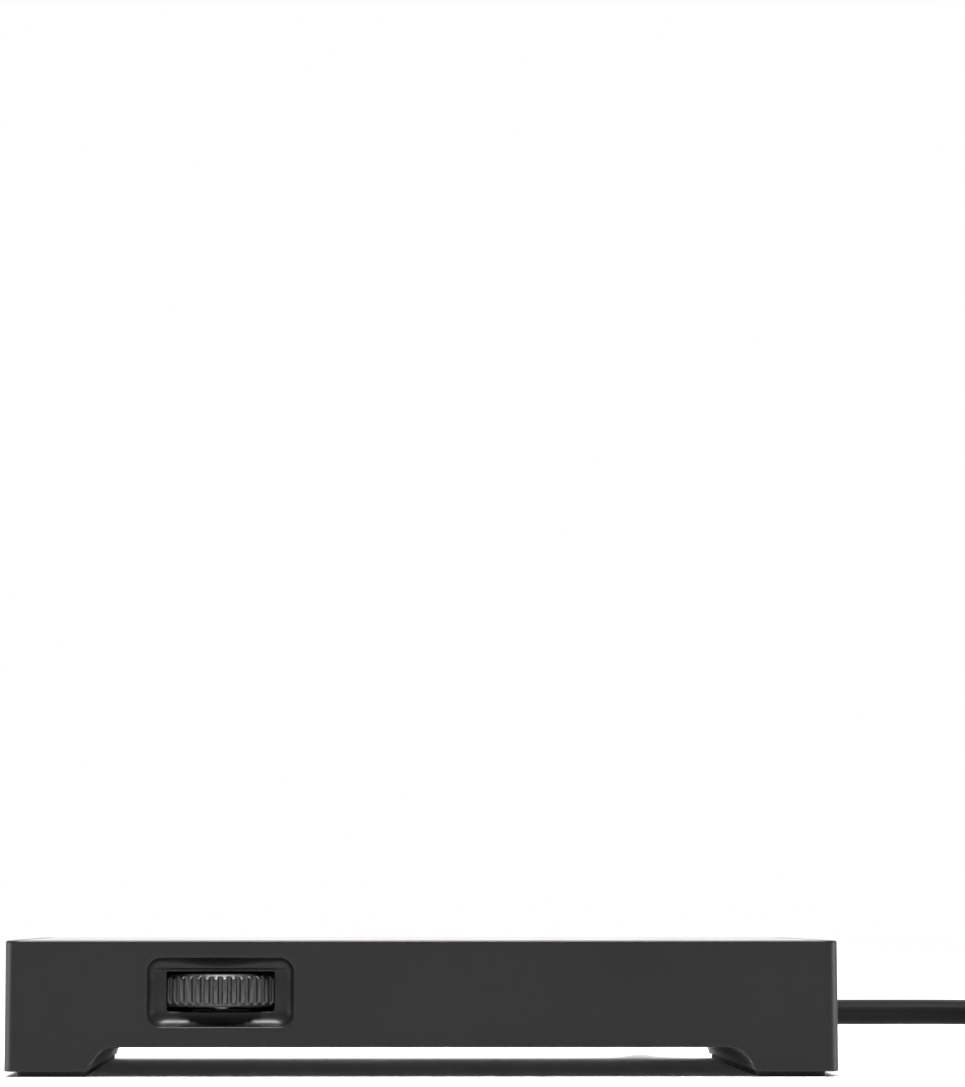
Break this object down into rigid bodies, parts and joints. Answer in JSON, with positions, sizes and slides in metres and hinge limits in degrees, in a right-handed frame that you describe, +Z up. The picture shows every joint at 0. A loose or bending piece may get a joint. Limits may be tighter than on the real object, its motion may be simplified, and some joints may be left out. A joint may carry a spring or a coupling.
{
  "type": "hot plate burner",
  "caption": "Slim square hot plate: painted case with a black glass top, radiant heater, thumbwheel control, cooling fan and mains cord.",
  "frame": {"origin": "on the table surface, under the middle of the case", "axes": "+Z up through the glass, the front with the thumbwheel looks along -Y, +X to the right seen from the front"},
  "size_m": [0.3384, 0.2583, 0.031],
  "materials": {
    "case_paint": "matte dark grey powder coat",
    "black_glass": "polished black glass ceramic",
    "silicone": "matte grey sealant",
    "base_steel": "satin dark grey",
    "foot_rubber": "matte black",
    "steel": "plain zinc plated",
    "mineral_board": "pressed mineral wool",
    "heating_alloy": "oxidised resistance ribbon",
    "ceramic": "semi-gloss white ceramic",
    "wheel_plastic": "satin dark grey",
    "black_plastic": "satin black",
    "circuit_board": "green solder mask",
    "cord_jacket": "smooth black",
    "brass": "bright",
    "aluminium": "extruded",
    "blue_plastic": "satin blue",
    "yellow_plastic": "gloss yellow",
    "grey_plastic": "matte light grey",
    "brown_wire": "brown insulation",
    "blue_wire": "blue insulation",
    "earth_wire": "green and yellow insulation",
    "red_wire": "red glass-fibre sleeve"
  },
  "bodies": {
    "body": {"housing": "case_paint", "glass_top": "black_glass", "glass_gasket": "silicone", "base_plate": "base_steel", "foot_strip_left": "foot_rubber", "foot_strip_right": "foot_rubber", "base_screw_front_left": "steel", "base_screw_front_right": "steel", "base_screw_rear_left": "steel", "base_screw_rear_right": "steel", "heater_pan": "steel", "heater_insulation": "mineral_board", "heating_ribbon": "heating_alloy", "heater_terminal_block": "ceramic", "sensor_spring": "steel", "temperature_sensor": "steel", "heater_leaf_spring_1": "steel", "heater_leaf_spring_2": "steel", "heater_leaf_spring_3": "steel", "potentiometer_body": "blue_plastic", "wheel_board": "circuit_board", "wheel_board_screw_1": "steel", "wheel_board_screw_2": "steel", "fan_frame": "black_plastic", "fan_screw_1": "steel", "fan_screw_2": "steel", "power_board": "circuit_board", "power_board_screw_1": "steel", "power_board_screw_2": "steel", "film_capacitor": "yellow_plastic", "triac_heatsink": "aluminium", "triac": "black_plastic", "reservoir_capacitor": "black_plastic", "noise_choke": "grey_plastic", "mains_terminal_block": "grey_plastic", "cord_strain_relief": "cord_jacket", "mains_cord_inner_end": "cord_jacket", "cord_clamp_bar": "grey_plastic", "cord_clamp_screw_1": "steel", "cord_clamp_screw_2": "steel", "live_core": "brown_wire", "neutral_core": "blue_wire", "earth_core": "earth_wire", "supply_wire_live": "brown_wire", "supply_wire_neutral": "blue_wire", "heater_lead_1": "red_wire", "heater_lead_2": "red_wire", "fan_lead": "red_wire", "signal_ribbon": "grey_plastic", "mains_cord_lead_out": "cord_jacket", "mains_cord_coil": "cord_jacket", "cord_tie": "foot_rubber", "mains_cord_plug_end": "cord_jacket", "plug_body": "cord_jacket", "plug_blade_1": "brass", "plug_blade_2": "brass", "plug_earth_pin": "brass"},
    "wheel": {"thumbwheel": "wheel_plastic", "wheel_shaft": "steel"},
    "fan": {"fan_rotor": "black_plastic"}
  },
  "joints": [
    {"name": "thumbwheel_turn", "type": "hinge", "parent": "body", "child": "wheel", "pos_m": [-0.0459, -0.07885, 0.0196], "axis": [0, 0, 1], "range_deg": [0, 270]},
    {"name": "fan_spin", "type": "hinge", "parent": "body", "child": "fan", "pos_m": [-0.0545, 0.0762, 0.0125], "axis": [0, 0, 1], "continuous": true}
  ]
}
